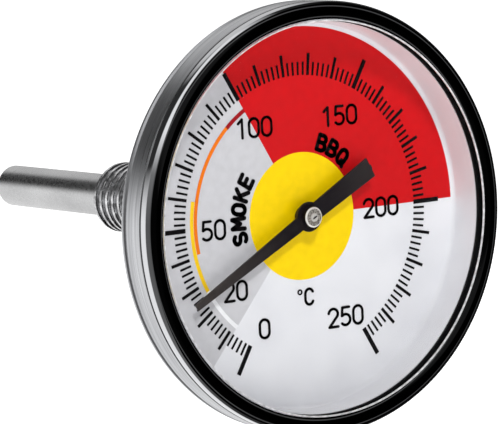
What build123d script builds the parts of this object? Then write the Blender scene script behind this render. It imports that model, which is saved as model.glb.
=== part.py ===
"""Bimetal dial thermometer for a barbecue or smoker lid.

The instrument is a body of revolution about the Y axis. The dial faces -Y, the stem runs along +Y and
+Z passes through the 125 degree mark at the top of the scale. The origin is on the axis, in the plane
of the collar's rear face, which is the face that seats on the lid. All sizes are millimetres.

Profiles are drawn in the XY plane, with x as the radius and y along the axis, and revolved about Y.
Heights "h" are measured from the printed face of the dial towards the viewer.
"""

from build123d import *
from math import cos, radians, sin
import os

# ---- Scale and pointer reading --------------------------------------------------------------------
ZERO_ANGLE = 240.0  # polar angle of the 0 mark, counter-clockwise from +X as seen from the front
DEG_PER_UNIT = 1.2  # pointer travel per degree Celsius: 300 degrees for 0 to 250
REST_READING = 26.5  # room temperature shown at rest
POINTER_ANGLE = ZERO_ANGLE - DEG_PER_UNIT * REST_READING

# ---- Positions along the axis ---------------------------------------------------------------------
SEAT_Y = 0.0
COLLAR_THICKNESS = 4.0
PAN_DEPTH = 4.0  # dial face to the outside of the pan's back
DIAL_Y = SEAT_Y - COLLAR_THICKNESS - PAN_DEPTH
SHANK_END_Y = 36.4
STEM_TIP_Y = 65.5

# ---- Bezel ring -----------------------------------------------------------------------------------
BEZEL_R = 28.6
OPENING_R = 26.1
LIP_H = 6.0  # underside of the front lip
ROLL_R = 1.4  # rounded front roll
ROLL_H = 5.35  # height of the roll's centre
BEZEL_REAR_R = 28.45
BEZEL_BORE_R = 28.03
CURL_R = 0.6  # rear edge, rolled in behind the pan
CURL_H = 0.3
CURL_INNER_R = 27.0
CURL_FACE_H = 0.17

# ---- Pan, dial, gasket and lens -------------------------------------------------------------------
SHEET = 0.5
PAN_R = 28.0
PAN_RIM_H = 4.18
SHOULDER_H = 0.2
SHOULDER_R = 26.9
PAN_BACK_R = 24.2
PAN_CORNER_R = 1.0
DIAL_SHEET = 0.4
DIAL_FLAT_R = 25.1
DIAL_BEND_R = 0.6
DIAL_RIM_R = 25.87
DIAL_FLANGE_R = 27.95
DIAL_HOLE_R = 0.8
GASKET_BORE_R = 25.9
GASKET_STEP_R = 27.0
GASKET_H = 4.6
LENS_H = 4.95
LENS_THICKNESS = 1.0
LENS_R = 26.95
FIT_GAP = 0.02  # between pieces that rest against each other

# ---- Threaded socket, M10 x 1.5 -------------------------------------------------------------------
THREAD_R = 5.0
THREAD_PITCH = 1.5
THREAD_ROOT_R = 4.08
THREAD_CREST = 0.19  # flat on each crest
THREAD_ROOT = 0.3  # flat in each root
THREAD_TURNS = 22
UNDERCUT_R = 4.0
COLLAR_ACROSS_FLATS = 17.0
COLLAR_CHAMFER_R = 8.7
COLLAR_CHAMFER = 0.7
SPIGOT_R = 4.0
STAKE_R = 5.2
STAKE_THICKNESS = 0.5
SOCKET_BORE_R = 2.0
STEM_SOCKET_DEPTH = 10.0

# ---- Stem and what is inside it -------------------------------------------------------------------
STEM_R = 3.0
STEM_INSERT_R = 2.8  # where the tube is turned down to enter the shank
STEM_SHOULDER_GAP = 0.1  # between the end of the shank and the tube's full width
STEM_WALL = 0.4
STEM_END_WALL = 0.8
STEM_EDGE_R = 0.4
SPINDLE_R = 0.6
RUNNING_GAP = 0.05  # radial, between the spindle and its bearings
PRESS_GAP = 0.01  # radial, between the spindle and what is pressed on it
BEARING_LENGTH = 3.0
GUIDE_Y = 38.0
GUIDE_LENGTH = 1.5
COIL_START_Y = 42.0
COIL_PITCH = 1.5
COIL_TURNS = 13
COIL_R = 1.9
STRIP_THICKNESS = 0.3
STRIP_WIDTH = 1.0
COIL_GAP = 0.03  # between the coil and the collar and post that it is welded to
COLLAR_ON_SPINDLE_LENGTH = 2.6
ANCHOR_POST_LENGTH = 3.0
ANCHOR_HEAD_LENGTH = 1.6

# ---- Pointer --------------------------------------------------------------------------------------
POINTER_H = 1.75  # visible face of the plate
POINTER_THICKNESS = 0.3
POINTER_HUB_R = 2.0
NEEDLE_LENGTH = 21.1
NEEDLE_ROOT_WIDTH = 2.1
NEEDLE_TIP_WIDTH = 0.95
TAIL_LENGTH = 11.9
TAIL_ROOT_WIDTH = 2.25
TAIL_END_WIDTH = 2.87
TAIL_TAB_WIDTH = 0.8  # stub left where the plate was cut from its strip
TAIL_TAB_LENGTH = 0.15
BUSH_R = 1.4
BUSH_H = 0.35
CAP_R = 1.36
CAP_TOP_H = 2.8
CAP_BEVEL = 0.14
CAP_BORE_TOP_H = 2.6
RIVET_R = 0.56
RIVET_HEIGHT = 0.22
SLOT_WIDTH = 0.24


def at(h):
    """Y of a height h above the printed face of the dial."""
    return DIAL_Y - h


def disc(y_from, y_to, radius, mode=Mode.ADD):
    """A cylinder on the instrument's axis between two Y positions."""
    with BuildSketch(Plane.XZ.offset(-y_from)) as outline:
        Circle(radius)
    extrude(outline.sketch, amount=-(y_to - y_from), mode=mode)


# The ring is spun from sheet: a polished roll in front, a straight skirt and a curled rear edge.
lip_drop = (ROLL_R**2 - (BEZEL_R - ROLL_R - OPENING_R) ** 2) ** 0.5
with BuildPart() as bezel_ring:
    with BuildSketch(Plane.XY):
        with BuildLine():
            roll_centre = (BEZEL_R - ROLL_R, at(ROLL_H))
            lip_edge = (OPENING_R, at(ROLL_H + lip_drop))
            crest = (roll_centre[0], at(ROLL_H + ROLL_R))
            roll_end = (BEZEL_R, at(ROLL_H))
            curl_start = (BEZEL_REAR_R, at(CURL_H))
            curl_end = (BEZEL_REAR_R - CURL_R, at(CURL_H - CURL_R))
            Line((OPENING_R, at(LIP_H)), lip_edge)
            RadiusArc(lip_edge, crest, -ROLL_R)
            RadiusArc(crest, roll_end, -ROLL_R)
            Line(roll_end, curl_start)
            RadiusArc(curl_start, curl_end, -CURL_R)
            Polyline(
                curl_end,
                (CURL_INNER_R, curl_end[1]),
                (CURL_INNER_R, at(CURL_FACE_H)),
                (BEZEL_BORE_R, at(CURL_FACE_H)),
                (BEZEL_BORE_R, at(LIP_H)),
                (OPENING_R, at(LIP_H)),
            )
        make_face()
    revolve(axis=Axis.Y)
bezel_ring.part.label = "bezel_ring"

# Flat glass, held by the gasket against the lip.
with BuildPart() as lens:
    disc(at(LENS_H), at(LENS_H + LENS_THICKNESS), LENS_R)
lens.part.label = "lens"

# The gasket's section is an L: a leg under the glass and a leg around it.
with BuildPart() as lens_gasket:
    with BuildSketch(Plane.XY):
        with BuildLine():
            Polyline(
                (GASKET_BORE_R, at(GASKET_H)),
                (DIAL_FLANGE_R, at(GASKET_H)),
                (DIAL_FLANGE_R, at(LIP_H - FIT_GAP)),
                (GASKET_STEP_R, at(LIP_H - FIT_GAP)),
                (GASKET_STEP_R, at(LENS_H - FIT_GAP)),
                (GASKET_BORE_R, at(LENS_H - FIT_GAP)),
                close=True,
            )
        make_face()
    revolve(axis=Axis.Y)
lens_gasket.part.label = "lens_gasket"

# The dial is a shallow dish: its flange lies on the pan's rim, under the gasket.
flange_front = at(GASKET_H - FIT_GAP)
flange_back = at(PAN_RIM_H)
with BuildPart() as dial_plate:
    with BuildSketch(Plane.XY):
        with BuildLine():
            front_bend = (DIAL_FLAT_R + DIAL_BEND_R, at(DIAL_BEND_R))
            back_bend = (DIAL_FLAT_R + DIAL_BEND_R + DIAL_SHEET, at(DIAL_BEND_R))
            Polyline(
                (DIAL_FLAT_R, at(-DIAL_SHEET)),
                (DIAL_HOLE_R, at(-DIAL_SHEET)),
                (DIAL_HOLE_R, at(0)),
                (DIAL_FLAT_R, at(0)),
            )
            RadiusArc((DIAL_FLAT_R, at(0)), front_bend, DIAL_BEND_R)
            Polyline(
                front_bend,
                (DIAL_RIM_R, flange_front),
                (DIAL_FLANGE_R, flange_front),
                (DIAL_FLANGE_R, flange_back),
                (DIAL_RIM_R + DIAL_SHEET, flange_back),
                back_bend,
            )
            RadiusArc(back_bend, (DIAL_FLAT_R, at(-DIAL_SHEET)), -(DIAL_BEND_R + DIAL_SHEET))
        make_face()
    revolve(axis=Axis.Y)
dial_plate.part.label = "dial_plate"

# The pan closes the case behind the dial. Its shoulder is what the ring's rear edge is curled over.
with BuildPart() as case_pan:
    with BuildSketch(Plane.XY):
        with BuildLine():
            Polyline(
                (PAN_R, at(PAN_RIM_H - FIT_GAP)),
                (PAN_R, at(SHOULDER_H)),
                (SHOULDER_R, at(SHOULDER_H)),
                (PAN_BACK_R, at(-PAN_DEPTH)),
                (SPIGOT_R + FIT_GAP, at(-PAN_DEPTH)),
                (SPIGOT_R + FIT_GAP, at(-PAN_DEPTH + SHEET)),
                (PAN_BACK_R - SHEET / 2, at(-PAN_DEPTH + SHEET)),
                (SHOULDER_R - SHEET, at(SHOULDER_H + SHEET)),
                (PAN_R - SHEET, at(SHOULDER_H + SHEET)),
                (PAN_R - SHEET, at(PAN_RIM_H - FIT_GAP)),
                close=True,
            )
        make_face()
    revolve(axis=Axis.Y)
    back_corner = case_pan.edges().filter_by(GeomType.CIRCLE).sort_by(Axis.Y)
    fillet([e for e in back_corner if abs(e.radius - PAN_BACK_R) < FIT_GAP], radius=PAN_CORNER_R)
case_pan.part.label = "case_pan"

# Hexagonal collar, staked spigot in front, threaded shank behind, bored through for the spindle.
# The thread is made of rings, because its helix angle is under three degrees.
stake_y = at(-PAN_DEPTH + SHEET) - FIT_GAP
thread_start_y = SHANK_END_Y - THREAD_TURNS * THREAD_PITCH
thread_outline = []
for turn in range(THREAD_TURNS):
    crest_y = thread_start_y + (turn + 0.5) * THREAD_PITCH
    thread_outline += [
        (THREAD_ROOT_R, crest_y - (THREAD_PITCH - THREAD_ROOT) / 2),
        (THREAD_R, crest_y - THREAD_CREST / 2),
        (THREAD_R, crest_y + THREAD_CREST / 2),
        (THREAD_ROOT_R, crest_y + (THREAD_PITCH - THREAD_ROOT) / 2),
    ]
with BuildPart() as threaded_socket:
    with BuildSketch(Plane.XZ.offset(-SEAT_Y)):
        RegularPolygon(radius=COLLAR_ACROSS_FLATS / 2, side_count=6, major_radius=False)
    extrude(amount=COLLAR_THICKNESS - FIT_GAP)
    with BuildSketch(Plane.XY):
        with BuildLine():
            collar_front = -COLLAR_THICKNESS + FIT_GAP
            chamfer_out = COLLAR_CHAMFER_R + 2 * COLLAR_CHAMFER
            Polyline(
                (0, collar_front),
                (COLLAR_CHAMFER_R, collar_front),
                (chamfer_out, collar_front + COLLAR_CHAMFER),
                (chamfer_out, SEAT_Y - COLLAR_CHAMFER),
                (COLLAR_CHAMFER_R, SEAT_Y),
                (0, SEAT_Y),
                close=True,
            )
        make_face()
    revolve(axis=Axis.Y, mode=Mode.INTERSECT)
    disc(stake_y - STAKE_THICKNESS, stake_y, STAKE_R)
    disc(stake_y, collar_front, SPIGOT_R)
    disc(SEAT_Y, thread_start_y, UNDERCUT_R)
    with BuildSketch(Plane.XY):
        with BuildLine():
            Polyline(
                (0, thread_start_y),
                (THREAD_ROOT_R, thread_start_y),
                *thread_outline,
                (THREAD_ROOT_R, SHANK_END_Y),
                (0, SHANK_END_Y),
                close=True,
            )
        make_face()
    revolve(axis=Axis.Y)
    disc(stake_y - STAKE_THICKNESS, SHANK_END_Y, SOCKET_BORE_R, mode=Mode.SUBTRACT)
    disc(SHANK_END_Y - STEM_SOCKET_DEPTH, SHANK_END_Y, STEM_INSERT_R + FIT_GAP, mode=Mode.SUBTRACT)
threaded_socket.part.label = "threaded_socket"

# Drawn tube with a closed, flat end, brazed into the shank.
stem_bore_r = STEM_R - STEM_WALL
shoulder_y = SHANK_END_Y + STEM_SHOULDER_GAP
with BuildPart() as stem_tube:
    disc(SHANK_END_Y - STEM_SOCKET_DEPTH + FIT_GAP, shoulder_y, STEM_INSERT_R)
    disc(shoulder_y, STEM_TIP_Y, STEM_R)
    fillet(stem_tube.edges().sort_by(Axis.Y)[-1], radius=STEM_EDGE_R)
    disc(SHANK_END_Y - STEM_SOCKET_DEPTH, STEM_TIP_Y - STEM_END_WALL, stem_bore_r, mode=Mode.SUBTRACT)
stem_tube.part.label = "stem_tube"

# Two plain bearings for the spindle: one in the collar, one in the stem above the coil.
bearing_y = stake_y - STAKE_THICKNESS
with BuildPart() as upper_bearing:
    disc(bearing_y, bearing_y + BEARING_LENGTH, SOCKET_BORE_R - FIT_GAP)
    disc(bearing_y, bearing_y + BEARING_LENGTH, SPINDLE_R + RUNNING_GAP, mode=Mode.SUBTRACT)
upper_bearing.part.label = "upper_bearing"

with BuildPart() as lower_guide:
    disc(GUIDE_Y, GUIDE_Y + GUIDE_LENGTH, stem_bore_r - FIT_GAP)
    disc(GUIDE_Y, GUIDE_Y + GUIDE_LENGTH, SPINDLE_R + RUNNING_GAP, mode=Mode.SUBTRACT)
lower_guide.part.label = "lower_guide"

# The sensing element: a bimetal strip wound on edge. Its inner end turns with the spindle.
coil_bore_r = COIL_R - STRIP_THICKNESS / 2
with BuildPart() as bimetal_coil:
    with BuildLine() as coil_path:
        Helix(COIL_PITCH, COIL_PITCH * COIL_TURNS, COIL_R, center=(0, COIL_START_Y, 0), direction=(0, 1, 0))
    coil_start = coil_path.line @ 0
    with BuildSketch(Plane(coil_start, x_dir=(coil_start.X, 0, coil_start.Z), z_dir=coil_path.line % 0)):
        Rectangle(STRIP_THICKNESS, STRIP_WIDTH)
    sweep(path=coil_path.line, is_frenet=True)
bimetal_coil.part.label = "bimetal_coil"

coil_top_y = COIL_START_Y - STRIP_WIDTH
with BuildPart() as coil_collar:
    disc(coil_top_y, coil_top_y + COLLAR_ON_SPINDLE_LENGTH, coil_bore_r - COIL_GAP)
    disc(coil_top_y, coil_top_y + COLLAR_ON_SPINDLE_LENGTH, SPINDLE_R + PRESS_GAP, mode=Mode.SUBTRACT)
coil_collar.part.label = "coil_collar"

# The coil's other end is fixed to a post on a plug pressed into the closed end of the stem.
anchor_end_y = STEM_TIP_Y - STEM_END_WALL - FIT_GAP
anchor_head_y = anchor_end_y - ANCHOR_HEAD_LENGTH
with BuildPart() as anchor_plug:
    disc(anchor_head_y, anchor_end_y, stem_bore_r - FIT_GAP)
    disc(anchor_head_y - ANCHOR_POST_LENGTH, anchor_head_y, coil_bore_r - COIL_GAP)
anchor_plug.part.label = "anchor_plug"

with BuildPart() as spindle:
    disc(at(CAP_BORE_TOP_H - FIT_GAP), coil_top_y + COLLAR_ON_SPINDLE_LENGTH, SPINDLE_R)
spindle.part.label = "spindle"

# The plate is drawn with the needle along its own +X axis, then turned to the reading.
plate_plane = Plane(
    origin=(0, at(POINTER_H - POINTER_THICKNESS), 0),
    x_dir=(cos(radians(POINTER_ANGLE)), 0, sin(radians(POINTER_ANGLE))),
    z_dir=(0, -1, 0),
)
with BuildPart() as pointer:
    with BuildSketch(plate_plane):
        with BuildLine():
            Polyline(
                (0, NEEDLE_ROOT_WIDTH / 2),
                (NEEDLE_LENGTH, NEEDLE_TIP_WIDTH / 2),
                (NEEDLE_LENGTH, -NEEDLE_TIP_WIDTH / 2),
                (0, -NEEDLE_ROOT_WIDTH / 2),
                (0, -TAIL_ROOT_WIDTH / 2),
                (-TAIL_LENGTH, -TAIL_END_WIDTH / 2),
                (-TAIL_LENGTH, TAIL_END_WIDTH / 2),
                (0, TAIL_ROOT_WIDTH / 2),
                close=True,
            )
        make_face()
        Circle(POINTER_HUB_R)
        with Locations((-TAIL_LENGTH, 0)):
            Rectangle(2 * TAIL_TAB_LENGTH, TAIL_TAB_WIDTH)
        Circle(SPINDLE_R + PRESS_GAP, mode=Mode.SUBTRACT)
    extrude(amount=POINTER_THICKNESS)
pointer.part.label = "pointer"

with BuildPart() as pointer_bush:
    disc(at(POINTER_H - POINTER_THICKNESS), at(BUSH_H), BUSH_R)
    disc(at(POINTER_H - POINTER_THICKNESS), at(BUSH_H), SPINDLE_R + PRESS_GAP, mode=Mode.SUBTRACT)
pointer_bush.part.label = "pointer_bush"

# Turned cap with a bevelled edge and a slotted rivet head, which is turned to set the reading.
with BuildPart() as pointer_cap:
    disc(at(CAP_TOP_H), at(POINTER_H), CAP_R)
    chamfer(pointer_cap.edges().sort_by(Axis.Y)[0], length=CAP_BEVEL)
    disc(at(CAP_TOP_H + RIVET_HEIGHT), at(CAP_TOP_H), RIVET_R)
    with BuildSketch(Plane(plate_plane.origin, plate_plane.x_dir, plate_plane.z_dir).offset(
        CAP_TOP_H + RIVET_HEIGHT - POINTER_H + POINTER_THICKNESS
    )):
        Rectangle(2 * RIVET_R, SLOT_WIDTH)
    extrude(amount=-RIVET_HEIGHT, mode=Mode.SUBTRACT)
    disc(at(CAP_BORE_TOP_H), at(POINTER_H), SPINDLE_R + PRESS_GAP, mode=Mode.SUBTRACT)
pointer_cap.part.label = "pointer_cap"

os.makedirs("parts", exist_ok=True)
for piece in (
    bezel_ring,
    lens,
    lens_gasket,
    dial_plate,
    case_pan,
    threaded_socket,
    stem_tube,
    upper_bearing,
    lower_guide,
    bimetal_coil,
    coil_collar,
    anchor_plug,
    spindle,
    pointer,
    pointer_bush,
    pointer_cap,
):
    export_step(piece.part, f"parts/{piece.part.label}.step")
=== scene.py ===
"""Looks of the dial thermometer: lathe-turned steel, printed dial, pointer, glass and studio.

Everything is in metres in the CAD frame: the dial faces -Y, the stem runs along +Y, +Z is up through the
125 mark. Heights "h" are measured from the printed face of the dial towards the viewer, in millimetres.
"""

from math import asin, ceil, cos, degrees, hypot, pi, radians, sin

import bmesh
import bpy
from mathutils import Matrix, Vector


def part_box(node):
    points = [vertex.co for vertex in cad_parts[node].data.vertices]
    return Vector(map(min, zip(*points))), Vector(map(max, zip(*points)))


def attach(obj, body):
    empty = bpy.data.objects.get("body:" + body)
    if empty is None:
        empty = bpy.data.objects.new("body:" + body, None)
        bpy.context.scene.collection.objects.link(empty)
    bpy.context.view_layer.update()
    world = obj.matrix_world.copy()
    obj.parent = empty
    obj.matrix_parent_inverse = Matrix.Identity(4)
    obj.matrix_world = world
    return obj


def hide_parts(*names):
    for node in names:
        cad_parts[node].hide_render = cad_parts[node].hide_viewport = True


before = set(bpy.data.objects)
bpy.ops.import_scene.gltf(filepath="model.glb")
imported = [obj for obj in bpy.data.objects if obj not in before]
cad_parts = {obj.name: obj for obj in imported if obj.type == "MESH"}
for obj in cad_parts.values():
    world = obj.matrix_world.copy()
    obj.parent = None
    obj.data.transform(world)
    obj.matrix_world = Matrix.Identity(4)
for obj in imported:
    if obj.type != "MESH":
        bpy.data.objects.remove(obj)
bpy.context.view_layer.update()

MM = 0.001
CASE = "case"
MOVEMENT = "movement"
LATHE_STEPS = 256

# Driving places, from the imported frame.
DIAL_SHEET = 0.4
DIAL_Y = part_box("dial_plate")[1][1] - DIAL_SHEET * MM
SHANK_END_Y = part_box("threaded_socket")[1][1]
STEM_TIP_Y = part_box("stem_tube")[1][1]
COLLAR_FRONT_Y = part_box("case_pan")[1][1]

# Turned pieces, in mm: radii from the axis and heights above the printed face.
SKIRT_R = 28.6
OPENING_R = 26.1
LIP_H = 6.0
ROLL_R = 1.4
ROLL_CENTRE = (27.2, 5.35)
GLASS_R = 26.95
GLASS_H = 4.95
GLASS_TOP = 5.95
GASKET_R = 25.9
GASKET_H = 4.6
FLANGE_R = 27.95
FLANGE_H = 4.58
DISH_R = 25.1
DISH_BEND = 0.6
DIAL_HOLE_R = 0.8
PAN_R = 28.0
PAN_SHEET = 0.5
PAN_BACK_H = -4.0

# Shank and stem, in mm.
COLLAR_FLAT = 8.5  # from the axis to each flat of the hexagon
COLLAR_CORNER_R = 9.8
STAKE_R = 5.2
NECK_R = 4.0
NECK_LENGTH = 3.4
THREAD_R = 5.0
ROOT_R = 4.08
THREAD_PITCH = 1.5
STEM_R = 3.0
STEM_EDGE = 0.4

# Pointer, in mm.
PLATE_H = 1.75
PLATE_BACK_H = 1.45
HUB_R = 2.0
NEEDLE_LENGTH = 21.1
NEEDLE_ROOT = 0.99  # half widths
NEEDLE_TIP = 0.475
TAIL_LENGTH = 11.9
TAIL_ROOT = 1.2
TAIL_END = 1.435
CAP_R = 1.36
CAP_H = 2.8

# The printed scale.
ZERO_ANGLE = 240.0
DEG_PER_UNIT = 1.2
REST_READING = 26.5
POINTER_ANGLE = ZERO_ANGLE - DEG_PER_UNIT * REST_READING
SCALE_MAX = 250
INK = 0.02  # thickness of one layer of ink, mm


# ---- Meshes ----------------------------------------------------------------------------------------
def at(h):
    """Y in metres of a height h in millimetres above the printed face."""
    return DIAL_Y - h * MM


def new_object(name, verts, faces, material, body=CASE, slot=None, sharp=35.0):
    """A mesh object that rides on a body, smooth except where faces meet at a sharp angle."""
    mesh = bpy.data.meshes.new(name)
    mesh.from_pydata(verts, [], faces)
    tidy = bmesh.new()
    tidy.from_mesh(mesh)
    bmesh.ops.remove_doubles(tidy, verts=tidy.verts, dist=1e-7)
    bmesh.ops.recalc_face_normals(tidy, faces=tidy.faces)
    tidy.to_mesh(mesh)
    tidy.free()
    mesh.shade_smooth()
    mesh.set_sharp_from_angle(angle=radians(sharp))
    mesh.materials.append(material)
    obj = bpy.data.objects.new(name, mesh)
    bpy.context.scene.collection.objects.link(obj)
    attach(obj, body)
    return obj


def lathe(name, outline, material, radius_at=None, **options):
    """Revolve a closed outline of (radius, y) points, in mm and m, about the Y axis.

    radius_at(radius, angle) may change the radius around the turn, as for a hexagon.
    """
    rows = len(outline)
    verts = []
    for step in range(LATHE_STEPS):
        a = 2 * pi * step / LATHE_STEPS
        for radius, y in outline:
            r = (radius_at(radius, a) if radius_at else radius) * MM
            verts.append((r * cos(a), y, r * sin(a)))
    faces = []
    for step in range(LATHE_STEPS):
        here, there = step * rows, (step + 1) % LATHE_STEPS * rows
        for row in range(rows):
            after = (row + 1) % rows
            if outline[row][0] == 0 and outline[after][0] == 0:
                continue
            faces.append((here + row, here + after, there + after, there + row))
    return new_object(name, verts, faces, material, **options)


def arc(centre, radius, start, end, steps=12):
    """Points of an arc in the (radius, h) plane, angles in degrees."""
    return [
        (
            centre[0] + radius * cos(radians(start + (end - start) * k / steps)),
            centre[1] + radius * sin(radians(start + (end - start) * k / steps)),
        )
        for k in range(steps + 1)
    ]


def heights(points):
    """(radius, h) points as (radius, y)."""
    return [(r, at(h)) for r, h in points]


# ---- Printing --------------------------------------------------------------------------------------
def polar(radius, angle):
    return (radius * cos(radians(angle)), radius * sin(radians(angle)))


def value_angle(value):
    return ZERO_ANGLE - DEG_PER_UNIT * value


def sector(inner, outer, start, end):
    """Quads of a ring sector on the dial, counter-clockwise from start to end degrees."""
    steps = max(2, ceil(abs(end - start) / 1.5))
    sweep = [start + (end - start) * k / steps for k in range(steps + 1)]
    return [
        [polar(inner, a), polar(outer, a), polar(outer, b), polar(inner, b)]
        for a, b in zip(sweep, sweep[1:])
    ]


def stroke(points, width, closed=False):
    """Polygons of a line with round ends and corners: one box per run and one disc per point."""
    shapes = []
    runs = list(zip(points, points[1:] + points[:1])) if closed else list(zip(points, points[1:]))
    for (x0, y0), (x1, y1) in runs:
        length = hypot(x1 - x0, y1 - y0)
        nx, ny = -(y1 - y0) / length * width / 2, (x1 - x0) / length * width / 2
        shapes.append([(x0 + nx, y0 + ny), (x0 - nx, y0 - ny), (x1 - nx, y1 - ny), (x1 + nx, y1 + ny)])
    for x, y in points:
        shapes.append([(x + c * width / 2, y + s * width / 2) for c, s in CIRCLE])
    return shapes


CIRCLE = [(cos(2 * pi * k / 16), sin(2 * pi * k / 16)) for k in range(16)]


def ink(name, shapes, level, material):
    """Flat shapes printed on the dial: thin closed prisms from the dial face up to a layer's height."""
    top, bottom = at(level * INK), at(0)
    verts, faces = [], []
    for shape in shapes:
        first, count = len(verts), len(shape)
        verts += [(x * MM, top, z * MM) for x, z in shape]
        verts += [(x * MM, bottom, z * MM) for x, z in shape]
        faces.append(tuple(range(first, first + count)))
        faces.append(tuple(reversed(range(first + count, first + 2 * count))))
        for k in range(count):
            n = (k + 1) % count
            faces.append((first + k, first + count + k, first + count + n, first + n))
    mesh = bpy.data.meshes.new(name)
    mesh.from_pydata(verts, [], faces)
    tidy = bmesh.new()
    tidy.from_mesh(mesh)
    bmesh.ops.recalc_face_normals(tidy, faces=tidy.faces)
    tidy.to_mesh(mesh)
    tidy.free()
    mesh.materials.append(material)
    obj = bpy.data.objects.new(name, mesh)
    bpy.context.scene.collection.objects.link(obj)
    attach(obj, CASE)


def bow(cx, cy, rx, ry, start, end, steps=10):
    """Points of an elliptical arc, for the round parts of letters."""
    return [
        (cx + rx * cos(radians(start + (end - start) * k / steps)),
         cy + ry * sin(radians(start + (end - start) * k / steps)))
        for k in range(steps + 1)
    ]


# Plain technical lettering: each letter is a list of strokes in a box 0.62 wide and 1 high.
W = 0.62
LETTERS = {
    "0": [bow(W / 2, 0.7, W / 2, 0.3, 0, 180) + bow(W / 2, 0.3, W / 2, 0.3, 180, 360) + [(W, 0.7)]],
    "1": [[(0.12, 0.78), (0.38, 1), (0.38, 0)]],
    "2": [bow(W / 2, 0.72, W / 2, 0.28, 170, -30) + [(0.02, 0), (W, 0)]],
    "5": [[(0.56, 1), (0.1, 1), (0.05, 0.54)] + bow(0.29, 0.32, 0.32, 0.3, 125, -140, 14)],
    "C": [bow(W / 2, 0.66, W / 2, 0.34, 25, 180) + bow(W / 2, 0.34, W / 2, 0.34, 180, 335)],
    "B": [
        [(0, 0), (0, 1)] + bow(0.32, 0.76, 0.26, 0.24, 90, -90) + [(0.05, 0.52)],
        [(0.32, 0.52)] + bow(0.33, 0.26, 0.29, 0.26, 90, -90) + [(0, 0)],
    ],
    "Q": [bow(W / 2, 0.66, W / 2, 0.34, 0, 180) + bow(W / 2, 0.34, W / 2, 0.34, 180, 360) + [(W, 0.66)],
          [(0.4, 0.26), (0.68, -0.04)]],
    "S": [bow(0.31, 0.75, 0.29, 0.25, 30, 265) + bow(0.31, 0.25, 0.31, 0.25, 85, -150)],
    "M": [[(0, 0), (0.04, 1), (0.35, 0.35), (0.66, 1), (0.7, 0)]],
    "O": [bow(W / 2, 0.66, W / 2, 0.34, 0, 180) + bow(W / 2, 0.34, W / 2, 0.34, 180, 360) + [(W, 0.66)]],
    "K": [[(0, 0), (0, 1)], [(0.58, 1), (0.05, 0.45)], [(0.22, 0.6), (0.62, 0)]],
    "E": [[(0.56, 1), (0, 1), (0, 0), (0.56, 0)], [(0, 0.52), (0.48, 0.52)]],
}


def upright_text(text, centre, height, pitch, weight):
    """Strokes of a label that stands upright on the dial, centred on a point."""
    width = pitch * (len(text) - 1) + W * height
    shapes = []
    for k, letter in enumerate(text):
        x0, z0 = centre[0] - width / 2 + k * pitch, centre[1] - height / 2
        for line in LETTERS[letter]:
            shapes += stroke([(x0 + x * height, z0 + y * height) for x, y in line], weight)
    return shapes


def curved_text(text, radius, middle, height, pitch, weight):
    """Strokes of a word that runs clockwise round the dial with its tops outward."""
    shapes = []
    step = degrees(pitch / (radius + height / 2))
    for k, letter in enumerate(text):
        angle = middle + step * ((len(text) - 1) / 2 - k)
        up, along = polar(1, angle), polar(1, angle - 90)
        for line in LETTERS[letter]:
            placed = []
            for x, y in line:
                u, v = radius + y * height, (x - W / 2) * height
                placed.append((up[0] * u + along[0] * v, up[1] * u + along[1] * v))
            shapes += stroke(placed, weight)
    return shapes


# ---- Materials -------------------------------------------------------------------------------------
def linear(rgb):
    """Display colour, 0 to 255, as a linear colour."""
    return tuple((c / 255 / 12.92 if c <= 10 else ((c / 255 + 0.055) / 1.055) ** 2.4) for c in rgb) + (1.0,)


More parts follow.
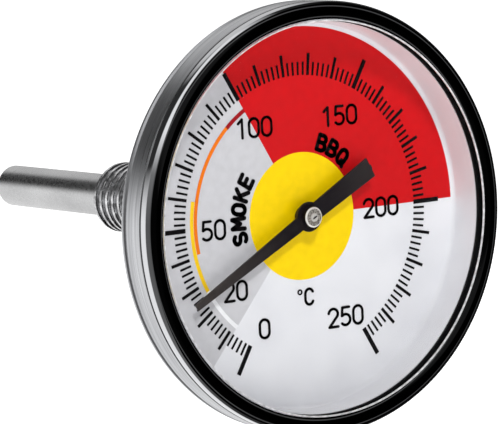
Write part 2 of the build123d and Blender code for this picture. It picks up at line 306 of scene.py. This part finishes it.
class Nodes:
    """A small helper that adds nodes to a material, or to a world, and links them."""

    def __init__(self, name, kind="materials", shader="Principled BSDF", coords="Object"):
        self.material = getattr(bpy.data, kind).new(name)
        self.material.use_nodes = True
        self.tree = self.material.node_tree
        self.shader = self.tree.nodes[shader]
        self.coords = self.add("ShaderNodeTexCoord").outputs[coords]

    def add(self, kind, **settings):
        node = self.tree.nodes.new(kind)
        for key, value in settings.items():
            setattr(node, key, value)
        return node

    def link(self, source, target):
        self.tree.links.new(source, target)

    def stretched(self, scale):
        mapping = self.add("ShaderNodeMapping")
        mapping.inputs["Scale"].default_value = scale
        self.link(self.coords, mapping.inputs["Vector"])
        return mapping.outputs["Vector"]

    def noise(self, scale, detail=4.0, stretch=(1, 1, 1)):
        noise = self.add("ShaderNodeTexNoise")
        noise.inputs["Scale"].default_value = scale
        noise.inputs["Detail"].default_value = detail
        self.link(self.stretched(stretch), noise.inputs["Vector"])
        return noise.outputs["Fac"]

    def span(self, source, low, high, to_low, to_high):
        """Map a number from one range to another, held at the ends."""
        node = self.add("ShaderNodeMapRange")
        self.link(source, node.inputs["Value"])
        for key, value in (("From Min", low), ("From Max", high), ("To Min", to_low), ("To Max", to_high)):
            node.inputs[key].default_value = value
        return node.outputs["Result"]

    def blend(self, factor, first, second):
        node = self.add("ShaderNodeMix", data_type="RGBA")
        self.link(factor, node.inputs["Factor"])
        for socket, value in ((node.inputs["A"], first), (node.inputs["B"], second)):
            if isinstance(value, tuple):
                socket.default_value = value
            else:
                self.link(value, socket)
        return node.outputs["Result"]

    def math(self, operation, first, second=None):
        node = self.add("ShaderNodeMath", operation=operation)
        for socket, value in zip(node.inputs, (first, second)):
            if isinstance(value, (int, float)):
                socket.default_value = value
            elif value is not None:
                self.link(value, socket)
        return node.outputs["Value"]

    def axis_parts(self):
        """The distance from the instrument's axis and the position along it, in metres."""
        split = self.add("ShaderNodeSeparateXYZ")
        self.link(self.coords, split.inputs["Vector"])
        squares = self.math("ADD", self.math("POWER", split.outputs["X"], 2.0),
                            self.math("POWER", split.outputs["Z"], 2.0))
        return self.math("SQRT", squares), split.outputs["Y"]

    def bump(self, height, strength, distance):
        node = self.add("ShaderNodeBump")
        node.inputs["Strength"].default_value = strength
        node.inputs["Distance"].default_value = distance
        self.link(height, node.inputs["Height"])
        self.link(node.outputs["Normal"], self.shader.inputs["Normal"])

    def finish(self, color=None, roughness=None, **constants):
        for name, value in (("Base Color", color), ("Roughness", roughness)):
            if value is None:
                continue
            if isinstance(value, (tuple, float)):
                self.shader.inputs[name].default_value = value
            else:
                self.link(value, self.shader.inputs[name])
        for name, value in constants.items():
            self.shader.inputs[name.replace("_", " ")].default_value = value
        return self.material


def printed(name, rgb, roughness=0.38):
    """Ink with a faint mottle in its colour and a slight orange peel."""
    n = Nodes(name)
    mottle = n.noise(900.0, 3.0)
    deep = linear(tuple(c * 0.97 for c in rgb))
    color = n.blend(n.span(mottle, 0.35, 0.65, 0.0, 1.0), linear(rgb), deep)
    n.bump(n.noise(2500.0, 2.0), 0.08, 0.00002)
    rough = n.span(mottle, 0.3, 0.7, roughness - 0.06, roughness + 0.08)
    return n.finish(color, rough, Specular_IOR_Level=0.15)


def enamel():
    """Glossy white stove enamel of the dial's dish."""
    n = Nodes("dial_enamel")
    cloud = n.noise(140.0, 3.0)
    color = n.blend(n.span(cloud, 0.3, 0.7, 0.0, 1.0), linear((238, 239, 243)), linear((226, 227, 232)))
    n.bump(n.noise(1800.0, 2.0), 0.06, 0.00002)
    return n.finish(color, n.span(cloud, 0.3, 0.7, 0.16, 0.26))


def bezel_steel():
    """Mirror polish on the front roll, satin brushed round the skirt, with a line between them."""
    n = Nodes("bezel_steel")
    along = n.axis_parts()[1]
    satin = n.span(along, at(4.5), at(4.32), 0.0, 1.0)
    brushed = n.noise(60.0, 5.0, stretch=(1, 60, 1))
    smudge = n.noise(90.0, 4.0)
    polish = n.span(smudge, 0.3, 0.7, 0.05, 0.11)
    rough = n.math("ADD", polish, n.math("MULTIPLY", satin, n.span(brushed, 0.3, 0.7, 0.16, 0.32)))
    color = n.blend(n.math("MULTIPLY", satin, n.span(brushed, 0.35, 0.65, 0.2, 1.0)),
                    linear((222, 223, 226)), linear((186, 187, 190)))
    n.bump(n.math("MULTIPLY", satin, brushed), 0.25, 0.00003)
    return n.finish(color, rough, Metallic=1.0)


def satin_steel(name, rgb=(205, 206, 208), grain=1500.0):
    """Bead-blasted stainless steel with faint handling marks."""
    n = Nodes(name)
    fine = n.noise(grain, 3.0)
    marks = n.noise(120.0, 5.0, stretch=(1, 0.35, 1))
    color = n.blend(n.span(marks, 0.35, 0.7, 0.0, 1.0), linear(rgb), linear(tuple(c * 0.86 for c in rgb)))
    rough = n.math("ADD", n.span(fine, 0.3, 0.7, 0.22, 0.34), n.span(marks, 0.4, 0.7, 0.0, 0.06))
    n.bump(fine, 0.18, 0.00003)
    return n.finish(color, rough, Metallic=1.0)


def thread_steel():
    """Cut thread: crests painted bright and roots painted dark, as highlight and shade, varied by random
    wear.
    """
    n = Nodes("thread_steel")
    radius = n.axis_parts()[0]
    depth = n.span(radius, 4.1 * MM, 4.7 * MM, 0.0, 1.0)
    worn = n.span(n.noise(1100.0, 5.0), 0.35, 0.62, 0.35, 1.0)
    # Painted shade and highlight: dark in the thread roots, bright on the crests, with random wear over the
    # crests.
    painted_root_shade_and_wear = n.math("MULTIPLY", depth, worn)
    color = n.blend(painted_root_shade_and_wear, linear((40, 39, 38)), linear((246, 246, 248)))
    n.bump(n.noise(1500.0, 4.0, stretch=(1, 4, 1)), 0.45, 0.00005)
    return n.finish(color, n.span(painted_root_shade_and_wear, 0.0, 1.0, 0.42, 0.22), Metallic=1.0)


def turned_metal(name, rgb, roughness=0.22, metallic=1.0):
    """Metal turned on a lathe, with rings about the axis."""
    n = Nodes(name)
    radius = n.axis_parts()[0]
    groove = n.math("SINE", n.math("MULTIPLY", radius, 42000.0))
    blotch = n.noise(1400.0, 4.0)
    color = n.blend(n.span(blotch, 0.3, 0.7, 0.0, 1.0), linear(rgb), linear(tuple(c * 0.72 for c in rgb)))
    n.bump(groove, 0.12, 0.00001)
    return n.finish(color, n.span(blotch, 0.3, 0.7, roughness - 0.08, roughness + 0.1), Metallic=metallic)


def cap_metal():
    """Pitted nickel on the front of the pointer's cap, black paint left on its side."""
    n = Nodes("cap_metal")
    radius, along = n.axis_parts()
    pits = n.noise(5200.0, 5.0)
    face = n.blend(n.span(pits, 0.4, 0.6, 0.0, 1.0), linear((84, 79, 73)), linear((176, 171, 163)))
    rim = n.blend(n.span(radius, 1.1 * MM, 1.2 * MM, 0.0, 1.0), face, linear((238, 236, 232)))
    head = n.blend(n.span(radius, 0.56 * MM, 0.6 * MM, 1.0, 0.0), rim, linear((206, 203, 198)))
    color = n.blend(n.span(along, at(2.6), at(2.66), 0.0, 1.0), linear((30, 27, 30)), head)
    n.bump(pits, 0.2, 0.00002)
    return n.finish(color, n.span(pits, 0.3, 0.7, 0.3, 0.45), Metallic=0.15)


def black_paint():
    """Satin black of the pointer, slightly brown and rubbed towards its ends."""
    n = Nodes("pointer_black")
    radius = n.axis_parts()[0]
    worn = n.span(radius, 4.0 * MM, 20.0 * MM, 0.0, 1.0)
    mottle = n.noise(1600.0, 3.0)
    base = n.blend(worn, linear((26, 22, 27)), linear((66, 60, 58)))
    color = n.blend(n.span(mottle, 0.4, 0.75, 0.0, 0.5), base, linear((44, 40, 42)))
    n.bump(mottle, 0.12, 0.00002)
    return n.finish(color, n.span(mottle, 0.3, 0.7, 0.34, 0.5))


def rubber():
    n = Nodes("black_rubber")
    fine = n.noise(1100.0, 4.0)
    color = n.blend(n.span(fine, 0.3, 0.7, 0.0, 1.0), linear((14, 14, 15)), linear((26, 26, 27)))
    n.bump(fine, 0.2, 0.00004)
    return n.finish(color, n.span(fine, 0.3, 0.7, 0.45, 0.65))


def clear_glass():
    """Clear flat glass: a nearly invisible sheet that still shows gloss."""
    n = Nodes("lens_glass")
    smudge = n.noise(60.0, 4.0)
    return n.finish(linear((8, 10, 10)), n.span(smudge, 0.3, 0.7, 0.02, 0.05), Alpha=0.04)


# ---- The object ------------------------------------------------------------------------------------
bezel_material = bezel_steel()
# Painted highlight: the steel lip gets a near-white, almost non-metallic colour so that it shows bright.
lip_painted_highlight_material = turned_metal("lip_steel", (238, 238, 240), roughness=0.4, metallic=0.1)
satin_material = satin_steel("satin_steel")
stem_material = satin_steel("stem_steel", rgb=(214, 214, 215), grain=2600.0)
thread_material = thread_steel()
enamel_material = enamel()
rubber_material = rubber()
glass_material = clear_glass()
pointer_material = black_paint()
cap_material = cap_metal()
steel_material = turned_metal("turned_steel", (186, 186, 188), roughness=0.3)
brass_material = turned_metal("bearing_brass", (206, 170, 96), roughness=0.3)
bimetal_material = turned_metal("bimetal_strip", (150, 140, 128), roughness=0.36)

black_ink = printed("ink_black", (20, 18, 20))
red_ink = printed("ink_red", (208, 18, 24))
grey_ink = printed("ink_grey", (205, 205, 209))
white_ink = printed("ink_white", (246, 247, 250))
yellow_ink = printed("ink_yellow", (255, 216, 0))
orange_ink = printed("ink_orange", (240, 120, 20))
amber_ink = printed("ink_amber", (250, 205, 30))
dark_red_ink = printed("ink_dark_red", (160, 22, 30))


def make_bezel():
    """Spun ring: lip, polished roll, crease, straight skirt, groove and curled rear edge."""
    roll = arc(ROLL_CENTRE, ROLL_R, 142, 0, 28)
    crease = [(SKIRT_R, 4.68), (SKIRT_R - 0.14, 4.5), (SKIRT_R, 4.32)]
    groove = [(SKIRT_R, 1.35), (SKIRT_R - 0.18, 1.12)]
    curl = arc((SKIRT_R - 0.7, 0.4), 0.7, 40, -90, 12)
    inside = [(27.0, -0.3), (27.0, 0.17), (28.03, 0.17), (28.03, LIP_H), (OPENING_R, LIP_H)]
    outline = heights(roll + crease + groove + curl + inside)
    ring = lathe("bezel", outline, bezel_material, slot="polished_steel")
    # The lip carries a painted highlight: near-white, almost non-metallic steel.
    hem = [(25.92, LIP_H), (26.12, LIP_H), (26.12, 6.2), (26.02, 6.24), (25.92, 6.16)]
    lip = lathe("bezel_lip", heights(hem), lip_painted_highlight_material, slot="polished_steel")
    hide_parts("bezel_ring")
    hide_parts("bezel_ring")


def make_lens():
    """Flat glass with ground edges."""
    edge = 0.12
    outline = [
        (0, GLASS_TOP),
        (GLASS_R - edge, GLASS_TOP),
        (GLASS_R, GLASS_TOP - edge),
        (GLASS_R, GLASS_H + edge),
        (GLASS_R - edge, GLASS_H),
        (0, GLASS_H),
    ]
    lens = lathe("lens_glass", heights(outline), glass_material, slot="lens_glass")
    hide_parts("lens")


def make_gasket():
    """Stepped rubber ring that holds the edge of the glass."""
    soft, clearance = 0.1, 0.02
    step_r = GLASS_R + 0.05
    outline = [
        (GASKET_R, GASKET_H + soft),
        (GASKET_R + soft, GASKET_H),
        (FLANGE_R, GASKET_H),
        (FLANGE_R, LIP_H - clearance),
        (step_r, LIP_H - clearance),
        (step_r, GLASS_H - clearance),
        (GASKET_R + soft, GLASS_H - clearance),
        (GASKET_R, GLASS_H - clearance - soft),
    ]
    gasket = lathe("gasket", heights(outline), rubber_material, slot="black_rubber")
    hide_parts("lens_gasket")


def make_dial():
    """Dished enamelled plate: flat face, bend, drafted wall and the flange that is clamped."""
    wall_top = 25.87  # the wall leans outward from the bend to this radius
    face = [(DIAL_HOLE_R, 0), (DISH_R, 0)]
    bend = arc((DISH_R, DISH_BEND), DISH_BEND, -90, 0, 10)[1:]
    flange_back = FLANGE_H - DIAL_SHEET
    flange = [(wall_top, FLANGE_H), (FLANGE_R, FLANGE_H), (FLANGE_R, flange_back)]
    flange.append((wall_top + DIAL_SHEET, flange_back))
    back_bend = arc((DISH_R, DISH_BEND), DISH_BEND + DIAL_SHEET, 0, -90, 10)
    outline = face + bend + flange + back_bend + [(DIAL_HOLE_R, -DIAL_SHEET)]
    dish = lathe("dial_dish", heights(outline), enamel_material, slot="dial_enamel")
    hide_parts("dial_plate")


def make_pan():
    """Pressed pan: rim, shoulder, cone, rounded corner and flat back."""
    rim, spigot_r = 4.16, NECK_R + 0.02
    outline = [(PAN_R, rim), (PAN_R, 0.2), (26.9, 0.2)]
    outline += arc((23.7, -2.9), 1.1, -30, -90, 8)
    outline += [
        (spigot_r, PAN_BACK_H),
        (spigot_r, PAN_BACK_H + PAN_SHEET),
        (23.6, PAN_BACK_H + PAN_SHEET),
        (26.4, 0.7),
        (PAN_R - PAN_SHEET, 0.7),
        (PAN_R - PAN_SHEET, rim),
    ]
    pan = lathe("pan", heights(outline), satin_material, slot="satin_steel")
    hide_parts("case_pan")


def make_socket():
    """Hexagonal collar and shank: the collar is a lathe form cut by six flats."""
    def flats(radius, angle):
        if radius <= STAKE_R:
            return radius
        turn = (angle + pi / 6) % (pi / 3) - pi / 6
        return min(radius, COLLAR_FLAT / cos(turn))

    front, rear = COLLAR_FRONT_Y, 0.0
    chamfer_r, run, drop, steps = 8.7, COLLAR_CORNER_R - 8.7, 0.56 * MM, 5
    outline = [
        (0, front - 1.0 * MM),
        (STAKE_R, front - 1.0 * MM),
        (STAKE_R, front - 0.52 * MM),
        (NECK_R, front - 0.5 * MM),
        (NECK_R, front),
        (chamfer_r, front),
    ]
    outline += [(chamfer_r + run * k / steps, front + drop * k / steps) for k in range(1, steps + 1)]
    outline += [(COLLAR_CORNER_R - run * k / steps, rear - drop * (1 - k / steps)) for k in range(steps + 1)]
    recess = rear - 0.25 * MM  # round the neck, behind the seat
    outline += [(5.6, rear), (5.2, recess), (4.4, recess), (NECK_R, rear), (0, rear)]
    collar = lathe("hex_collar", outline, satin_material, radius_at=flats, slot="turned_steel", sharp=20)
    shank = make_thread()
    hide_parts("threaded_socket")
    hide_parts("threaded_socket")


def make_thread():
    """True M10 x 1.5 helix, with a plain neck in front and a chamfered end behind."""
    chamfer, run_in_length = 0.8, 1.2
    root_flat, flank = 0.12, 0.5  # shares of half a pitch
    depth = THREAD_R - ROOT_R
    length = SHANK_END_Y / MM
    around, along = 120, int(length / 0.075)

    def ridge(y, turn):
        phase = abs((y / THREAD_PITCH - turn) % 1.0 - 0.5) * 2
        return ROOT_R + depth * min(1.0, max(0.0, (phase - root_flat) / flank))

    def envelope(y):
        run_in = ROOT_R + depth * min(1.0, max(0.0, (y - NECK_LENGTH) / run_in_length))
        run_out = THREAD_R - chamfer + min(chamfer, max(0.0, length - y))
        return min(run_in if y > NECK_LENGTH else NECK_R, run_out)

    rows = along + 1
    verts = []
    for step in range(around):
        a = 2 * pi * step / around
        for k in range(rows):
            y = length * k / along
            r = min(ridge(y, step / around), envelope(y)) * MM
            verts.append((r * cos(a), y * MM, r * sin(a)))
    tip = len(verts)
    verts += [(0, 0, 0), (0, length * MM, 0)]
    faces = []
    for step in range(around):
        here, there = step * rows, (step + 1) % around * rows
        faces += [(here + k, here + k + 1, there + k + 1, there + k) for k in range(rows - 1)]
        faces += [(tip, here, there), (tip + 1, there + rows - 1, here + rows - 1)]
    return new_object("thread", verts, faces, thread_material, slot="turned_steel", sharp=60)


def make_stem():
    """Tube with a flat, closed end, brazed into the shank."""
    tip, start, rings = STEM_TIP_Y, SHANK_END_Y - 2 * MM, 12
    outline = [(0, start), (STEM_R, start)]
    outline += [(STEM_R, start + (tip - start) * k / rings) for k in range(1, rings)]
    for angle in range(0, 91, 10):
        inset = STEM_EDGE * (1 - cos(radians(angle)))
        outline.append((STEM_R - inset, tip - STEM_EDGE * (1 - sin(radians(angle))) * MM))
    outline.append((0, tip))
    stem = lathe("stem", outline, stem_material, slot="satin_steel")
    bead = [
        (STEM_R, SHANK_END_Y),
        (STEM_R + 0.45, SHANK_END_Y),
        (STEM_R + 0.1, SHANK_END_Y + 0.14 * MM),
        (STEM_R, SHANK_END_Y + 0.35 * MM),
    ]
    fill = lathe("braze_fillet", bead, steel_material, slot="turned_steel")
    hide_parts("stem_tube")
    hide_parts("stem_tube")


def hub_arc(start, end):
    """Points round the pointer's hub between two angles."""
    return [polar(HUB_R, start + (end - start) * k / 16) for k in range(17)]


def make_pointer():
    """Stamped plate with softly rounded edges: needle, hub and flared tail with its cut-off stub."""
    c, s = cos(radians(POINTER_ANGLE)), sin(radians(POINTER_ANGLE))
    needle, tail = degrees(asin(NEEDLE_ROOT / HUB_R)), degrees(asin(TAIL_ROOT / HUB_R))
    tab, tab_width = TAIL_LENGTH + 0.15, 0.4
    outline = [(NEEDLE_LENGTH, -NEEDLE_TIP), (NEEDLE_LENGTH, NEEDLE_TIP)]
    outline += hub_arc(needle, 180 - tail)
    outline += [
        (-TAIL_LENGTH, TAIL_END),
        (-TAIL_LENGTH, tab_width),
        (-tab, tab_width - 0.1),
        (-tab, 0.1 - tab_width),
        (-TAIL_LENGTH, -tab_width),
        (-TAIL_LENGTH, -TAIL_END),
    ]
    outline += hub_arc(180 + tail, 360 - needle)
    count = len(outline)
    verts = []
    for h in (PLATE_H, PLATE_BACK_H):
        verts += [((x * c - z * s) * MM, at(h), (x * s + z * c) * MM) for x, z in outline]
    faces = [tuple(range(count)), tuple(reversed(range(count, 2 * count)))]
    faces += [(k, count + k, count + (k + 1) % count, (k + 1) % count) for k in range(count)]
    plate = new_object("pointer_plate", verts, faces, pointer_material, MOVEMENT, "pointer_black", 30)
    bevel = plate.modifiers.new("edge", "BEVEL")
    bevel.width = 0.05 * MM
    bevel.segments = 2
    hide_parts("pointer")


def make_cap():
    """Turned cap with a bevelled rim and a domed, slotted rivet head."""
    face_h, rivet_r = CAP_H - 0.04, 0.56
    body = [(0, PLATE_H), (CAP_R - 0.02, PLATE_H), (CAP_R, PLATE_H + 0.05), (CAP_R, CAP_H - 0.16)]
    front = [(CAP_R - 0.14, CAP_H), (1.1, CAP_H), (1.02, face_h), (0, face_h)]
    cap = lathe("cap", heights(body + front), cap_material, body=MOVEMENT, slot="cap_metal")
    dome = [(0, 2.7), (rivet_r, 2.7), (rivet_r, 2.9), (0.5, 2.98), (0.3, 3.02), (0.22, 2.94), (0, 2.9)]
    rivet = lathe("rivet", heights(dome), cap_material, body=MOVEMENT, slot="cap_metal")
    verts, faces = [], []
    for shape in stroke([polar(0.3, POINTER_ANGLE + 180), polar(0.3, POINTER_ANGLE)], 0.17):
        first, count = len(verts), len(shape)
        for h in (3.022, 2.85):
            verts += [(x * MM, at(h), z * MM) for x, z in shape]
        faces += [tuple(range(first, first + count)), tuple(range(first + count, first + 2 * count))]
        faces += [
            (first + k, first + count + k, first + count + (k + 1) % count, first + (k + 1) % count)
            for k in range(count)
        ]
    mark = new_object("rivet_slot", verts, faces, pointer_material, MOVEMENT, "cap_metal")
    for piece in (cap, rivet, mark):
        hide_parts("pointer_cap")


def print_dial():
    """The zones, scale, numbers and words, in layers that do not share a height."""
    hole, edge = 0.85, 25.15
    ink("zone_red", sector(hole, edge, 0, 120), 1, red_ink)
    ink("zone_smoke", sector(hole, edge, 120, 230), 1, grey_ink)
    ink("zone_centre", sector(hole, 8.5, 0, 360), 2, yellow_ink)
    ink("arc_dark_red", sector(16.8, 17.35, 120, 132), 3, dark_red_ink)
    ink("arc_orange", sector(16.85, 17.35, 132, 191), 3, orange_ink)
    ink("arc_amber", sector(17.4, 17.95, 168, 208), 2, amber_ink)
    ink("arc_white", sector(17.35, 17.9, 208, 230), 2, white_ink)

    ticks = []
    for value in range(0, SCALE_MAX + 1, 2):
        angle = value_angle(value)
        if value % 50 == 0:
            reach, weight = 23.0, 0.6
        elif value % 10 == 0:
            reach, weight = 21.7, 0.41
        else:
            reach, weight = 20.55, 0.29
        ticks += [stroke([polar(18.7, angle), polar(reach - 0.1, angle)], weight)[0]]
    ink("scale_ticks", ticks, 4, black_ink)

    numbers = []
    for text, place in (
        ("0", (-6.95, -14.25)),
        ("20", (-11.3, -8.75)),
        ("50", (-14.3, -0.4)),
        ("100", (-7.1, 12.4)),
        ("150", (6.85, 12.8)),
        ("200", (13.1, -0.1)),
        ("250", (6.4, -14.2)),
    ):
        numbers += upright_text(text, place, 2.45, 2.05, 0.36)
    ink("scale_numbers", numbers, 5, black_ink)
    unit = upright_text("C", (0.55, -10.85), 2.1, 2.0, 0.36)
    unit += stroke([(x * 0.3 - 0.95, z * 0.3 - 10.1) for x, z in CIRCLE], 0.2, closed=True)
    ink("scale_unit", unit, 5, black_ink)
    ink("word_smoke", curved_text("SMOKE", 9.35, 169.5, 1.95, 1.95, 0.58), 6, black_ink)
    ink("word_bbq", curved_text("BBQ", 9.1, 57, 2.0, 1.95, 0.56), 6, black_ink)


def dress_inner_nodes():
    """Procedural materials for the CAD nodes that stay as they are."""
    for node, material in (
        ("upper_bearing", brass_material),
        ("lower_guide", brass_material),
        ("bimetal_coil", bimetal_material),
        ("coil_collar", steel_material),
        ("anchor_plug", steel_material),
        ("spindle", steel_material),
        ("pointer_bush", pointer_material),
    ):
        for slot in bpy.data.objects[node].material_slots:
            slot.material = material


make_bezel()
make_lens()
make_gasket()
make_dial()
make_pan()
make_socket()
make_stem()
make_pointer()
make_cap()
print_dial()
dress_inner_nodes()


# ---- Studio ----------------------------------------------------------------------------------------
def make_camera():
    """A long lens to the left of the dial's axis and a little above it, leaning slightly."""
    azimuth, elevation, roll = radians(-34.85), radians(6.31), radians(-2.83)
    back = Vector((sin(azimuth) * cos(elevation), -cos(azimuth) * cos(elevation), sin(elevation)))
    level = Vector((cos(azimuth), sin(azimuth), 0))
    up = back.cross(level)
    right = level * cos(roll) + up * sin(roll)
    up = back.cross(right)
    place = Vector((-0.26087, DIAL_Y - 0.36266, 0.05027))
    data = bpy.data.cameras.new("camera")
    data.lens = 244.2
    data.sensor_width = 36.0
    camera = bpy.data.objects.new("camera", data)
    camera.matrix_world = Matrix.Translation(place) @ Matrix((right, up, back)).transposed().to_4x4()
    bpy.context.scene.collection.objects.link(camera)
    bpy.context.scene.camera = camera


def area_light(name, place, size, power):
    data = bpy.data.lights.new(name, "AREA")
    data.shape = "DISK"
    data.size = size
    data.energy = power
    light = bpy.data.objects.new(name, data)
    light.location = place
    light.rotation_euler = (Vector((0, 0, 0)) - Vector(place)).to_track_quat("-Z", "Y").to_euler()
    light.visible_glossy = False
    bpy.context.scene.collection.objects.link(light)


def ring_of_cards(n, turn, shades):
    """Brightness round the dial's axis: (degrees, shade) pairs, 0 to the right and 90 at the top."""
    around = n.add("ShaderNodeValToRGB")
    stops = around.color_ramp.elements
    while len(stops) < len(shades):
        stops.new(0.5)
    for stop, (angle, shade) in zip(stops, shades):
        stop.position = (angle + 180) / 360
        stop.color = (shade, shade, shade, 1)
    n.link(turn, around.inputs["Fac"])
    return around.outputs["Color"]


def make_world():
    """Soft studio seen only in reflections.

    Behind the object it is white, with one dark card for the upper left of the skirt and the stem; beside it
    there is a white strip in the upper left for the roll; in front of the dial it is dark.
    """
    n = Nodes("studio", "worlds", "Background", "Generated")
    bpy.context.scene.world = n.material
    split = n.add("ShaderNodeSeparateXYZ")
    n.link(n.coords, split.inputs["Vector"])
    x, y, z = (split.outputs[k] for k in "XYZ")
    turn = n.span(n.math("ARCTAN2", z, x), -pi, pi, 0.0, 1.0)
    behind = ring_of_cards(n, turn, (
        (-180, 1.0), (-20, 1.0), (10, 0.62), (86, 0.66), (104, 0.03), (152, 0.03), (172, 0.8), (180, 1.0)))
    beside = ring_of_cards(n, turn, (
        (-180, 0.11), (-120, 0.15), (-90, 0.04), (0, 0.02), (70, 0.02), (88, 0.9), (140, 1.0), (158, 0.2),
        (180, 0.11)))
    cards = n.blend(n.span(y, 0.42, 0.55, 0.0, 1.0), beside, behind)
    left = n.span(x, -0.8, -0.55, 0.35, 0.0)
    back = n.span(n.math("ADD", y, left), -0.06, 0.06, 0.012, 1.0)
    right = n.span(x, 0.5, 0.62, 1.0, 0.2)
    strip = n.span(n.math("ABSOLUTE", n.math("ADD", y, 0.42)), 0.02, 0.1, 0.1, 0.0)
    level = n.math("ADD", n.math("MULTIPLY", n.math("MULTIPLY", back, right), cards), strip)
    rays = n.add("ShaderNodeLightPath").outputs["Is Camera Ray"]
    n.link(n.math("MAXIMUM", level, rays), n.shader.inputs["Color"])


def make_floor():
    """Pale floor well below the object, which is held by its shank."""
    n = Nodes("floor_paper")
    grain = n.noise(40.0, 3.0)
    color = n.blend(n.span(grain, 0.3, 0.7, 0.0, 1.0), linear((252, 252, 252)), linear((248, 248, 248)))
    material = n.finish(color, 0.9)
    n.shader.inputs["Emission Color"].default_value = (1, 1, 1, 1)
    n.shader.inputs["Emission Strength"].default_value = 1.0
    mesh = bpy.data.meshes.new("floor")
    half, level = 3.0, -0.09
    corners = [(-half, -half, level), (half, -half, level), (half, half, level), (-half, half, level)]
    mesh.from_pydata(corners, [], [(0, 1, 2, 3)])
    mesh.materials.append(material)
    floor = bpy.data.objects.new("floor", mesh)
    floor.visible_glossy = False
    bpy.context.scene.collection.objects.link(floor)


make_camera()
make_world()
make_floor()
area_light("key", (-0.25, -0.75, 0.75), 0.2, 6.8)
area_light("fill", (-0.5, -0.95, -0.1), 0.8, 3.1)
bpy.context.scene.view_settings.view_transform = "Standard"
